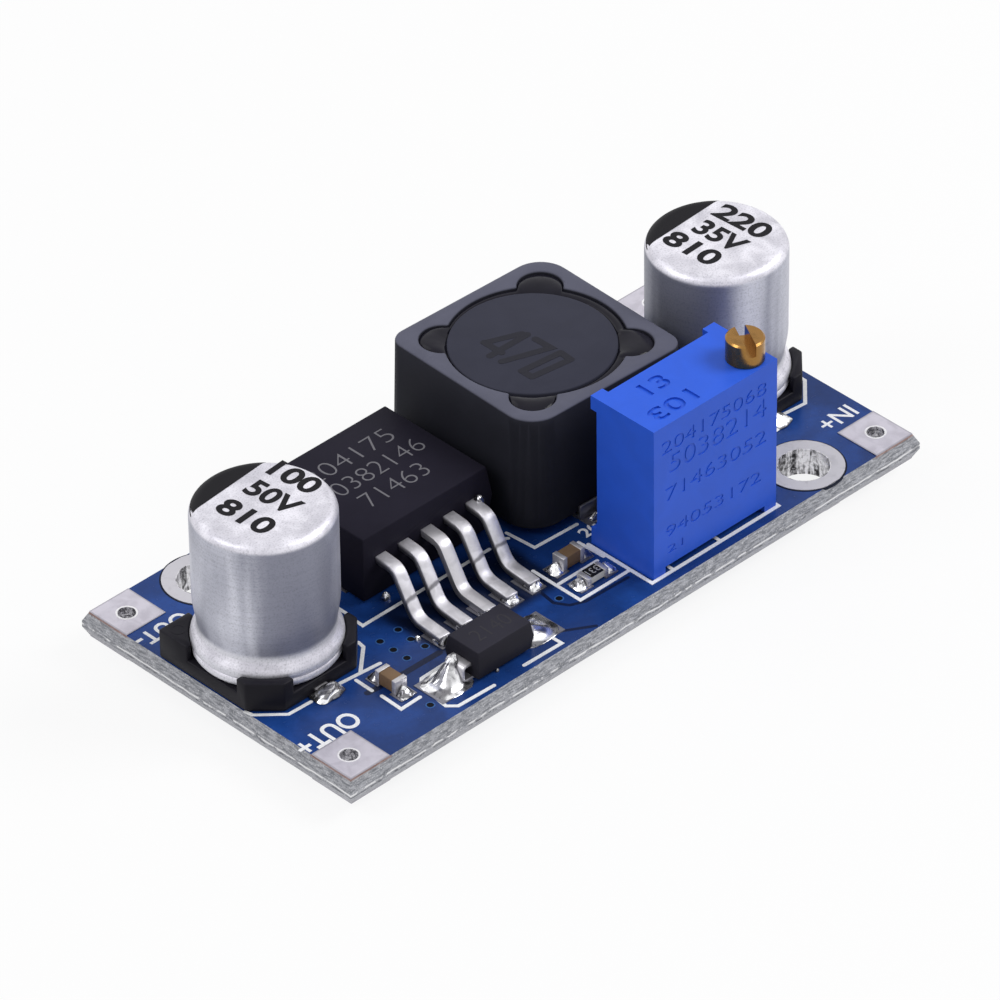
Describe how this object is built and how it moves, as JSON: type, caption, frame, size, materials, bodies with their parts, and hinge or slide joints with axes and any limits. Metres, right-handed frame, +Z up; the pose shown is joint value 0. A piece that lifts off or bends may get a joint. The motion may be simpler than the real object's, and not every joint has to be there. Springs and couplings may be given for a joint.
{
  "type": "boost converter module",
  "caption": "Small blue circuit board that steps a DC voltage up, with filter capacitors, a shielded inductor, a tabbed regulator, a diode and a screw-set multi-turn trimmer.",
  "frame": {"origin": "centre of the board's underside, midway between the two mounting holes", "axes": "+X from the output end to the input end along the board, +Y from the long edge with the trimmer to the far long edge, +Z up out of the component side"},
  "size_m": [0.0438, 0.0212, 0.014],
  "materials": {
    "laminate": "blue solder mask, satin, over glass-fibre laminate",
    "tinned_copper": "tinned, satin",
    "can_aluminium": "satin, faint drawn lines",
    "black_plastic": "matt moulded",
    "lead_metal": "bright tinned",
    "solder": "bright, slightly uneven",
    "ferrite": "fine-grained matt",
    "copper_wire": "enamelled",
    "adhesive": "glossy black resin",
    "moulding_compound": "fine matt moulded",
    "trimmer_blue": "satin moulded",
    "screw_brass": "turned",
    "seal_rubber": "matt",
    "carriage_plastic": "matt moulded",
    "spring_alloy": "rolled spring strip",
    "white_ceramic": "fired ceramic",
    "tan_ceramic": "fired ceramic",
    "resistive_film": "printed resistive film",
    "collector_film": "printed metal film",
    "potting_resin": "cast resin",
    "resistor_glaze": "glossy black glaze"
  },
  "bodies": {
    "board": {"circuit_board": "laminate", "input_plus_pad": "tinned_copper", "input_minus_pad": "tinned_copper", "output_plus_pad": "tinned_copper", "output_minus_pad": "tinned_copper", "input_mounting_ring": "tinned_copper", "output_mounting_ring": "tinned_copper", "component_lands": "tinned_copper", "output_capacitor_can": "can_aluminium", "output_capacitor_base": "black_plastic", "output_capacitor_terminals": "lead_metal", "output_capacitor_solder": "solder", "input_capacitor_can": "can_aluminium", "input_capacitor_base": "black_plastic", "input_capacitor_terminals": "lead_metal", "input_capacitor_solder": "solder", "inductor_shield": "ferrite", "inductor_core": "ferrite", "inductor_winding": "copper_wire", "inductor_adhesive": "adhesive", "inductor_terminals": "lead_metal", "inductor_solder": "solder", "regulator_body": "moulding_compound", "regulator_tab": "lead_metal", "regulator_leads": "lead_metal", "regulator_solder": "solder", "tab_solder": "solder", "diode_body": "moulding_compound", "diode_leads": "lead_metal", "diode_solder": "solder", "trimmer_housing": "trimmer_blue", "trimmer_substrate": "white_ceramic", "trimmer_resistive_track": "resistive_film", "trimmer_collector_track": "collector_film", "trimmer_pins": "lead_metal", "trimmer_potting": "potting_resin", "trimmer_solder": "solder", "filter_capacitor": "tan_ceramic", "filter_capacitor_caps": "lead_metal", "output_chip_capacitor": "tan_ceramic", "output_chip_capacitor_caps": "lead_metal", "resistor": "white_ceramic", "resistor_caps": "lead_metal", "resistor_coating": "resistor_glaze", "chip_solder": "solder"},
    "screw": {"trimmer_screw": "screw_brass", "trimmer_seal": "seal_rubber"},
    "carriage": {"trimmer_carriage": "carriage_plastic", "trimmer_wiper": "spring_alloy"}
  },
  "joints": [
    {"name": "screw_turn", "type": "hinge", "parent": "board", "child": "screw", "pos_m": [0.01035, -0.0082, 0.0116], "axis": [0, 0, 1], "range_deg": [-4500, 4500]},
    {"name": "carriage_travel", "type": "slide", "parent": "board", "child": "carriage", "axis": [0, 0, 1], "range_m": [-0.0025, 0.0025]}
  ],
  "couplings": [
    {"joint": "screw_turn", "follows": "carriage_travel", "rad_per_m": -31416}
  ]
}
